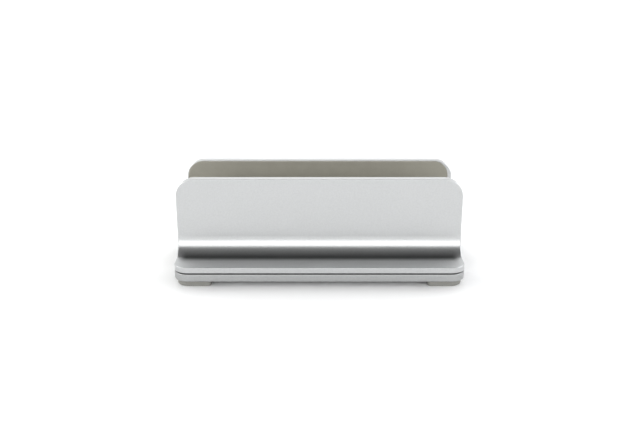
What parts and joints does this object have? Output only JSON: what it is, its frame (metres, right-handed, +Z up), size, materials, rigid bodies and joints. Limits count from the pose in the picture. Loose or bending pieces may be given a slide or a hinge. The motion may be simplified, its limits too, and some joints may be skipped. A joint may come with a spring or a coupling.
{
  "type": "vertical laptop stand",
  "caption": "Upright stand with two L-shaped aluminium brackets that slide on a base plate, holding a closed laptop on its edge between padded walls.",
  "frame": {"origin": "middle of the base, on the surface that the feet stand on", "axes": "+X along the width, +Y from the front to the back, +Z up"},
  "size_m": [0.185, 0.1072, 0.0638],
  "materials": {
    "aluminium_bracket": "bead-blasted, clear anodised",
    "aluminium_plate": "bead-blasted, clear anodised",
    "silicone_pad": "warm grey silicone sheet, matt",
    "silicone_foot": "grey silicone, matt",
    "screw_steel": "plain steel"
  },
  "bodies": {
    "base": {"base_plate": "aluminium_plate", "floor_pad": "silicone_pad", "foot_front_left": "silicone_foot", "foot_front_right": "silicone_foot", "foot_rear_left": "silicone_foot", "foot_rear_right": "silicone_foot"},
    "front_side": {"front_bracket": "aluminium_bracket", "front_wall_pad": "silicone_pad", "washer_front_left": "screw_steel", "washer_front_right": "screw_steel"},
    "rear_side": {"rear_bracket": "aluminium_bracket", "rear_wall_pad": "silicone_pad", "washer_rear_left": "screw_steel", "washer_rear_right": "screw_steel"},
    "screw_front_left": {"screw_front_left": "screw_steel"},
    "screw_front_right": {"screw_front_right": "screw_steel"},
    "screw_rear_left": {"screw_rear_left": "screw_steel"},
    "screw_rear_right": {"screw_rear_right": "screw_steel"}
  },
  "joints": [
    {"name": "front_slide", "type": "slide", "parent": "base", "child": "front_side", "axis": [0, 1, 0], "range_m": [0, 0.014]},
    {"name": "rear_slide", "type": "slide", "parent": "base", "child": "rear_side", "axis": [0, -1, 0], "range_m": [0, 0.014]},
    {"name": "screw_front_left_turn", "type": "hinge", "parent": "front_side", "child": "screw_front_left", "pos_m": [-0.06, -0.0306, 0.0064], "axis": [0, 0, -1], "range_deg": [0, 360]},
    {"name": "screw_front_right_turn", "type": "hinge", "parent": "front_side", "child": "screw_front_right", "pos_m": [0.06, -0.0306, 0.0064], "axis": [0, 0, -1], "range_deg": [0, 360]},
    {"name": "screw_rear_left_turn", "type": "hinge", "parent": "rear_side", "child": "screw_rear_left", "pos_m": [-0.06, 0.0306, 0.0064], "axis": [0, 0, -1], "range_deg": [0, 360]},
    {"name": "screw_rear_right_turn", "type": "hinge", "parent": "rear_side", "child": "screw_rear_right", "pos_m": [0.06, 0.0306, 0.0064], "axis": [0, 0, -1], "range_deg": [0, 360]}
  ]
}
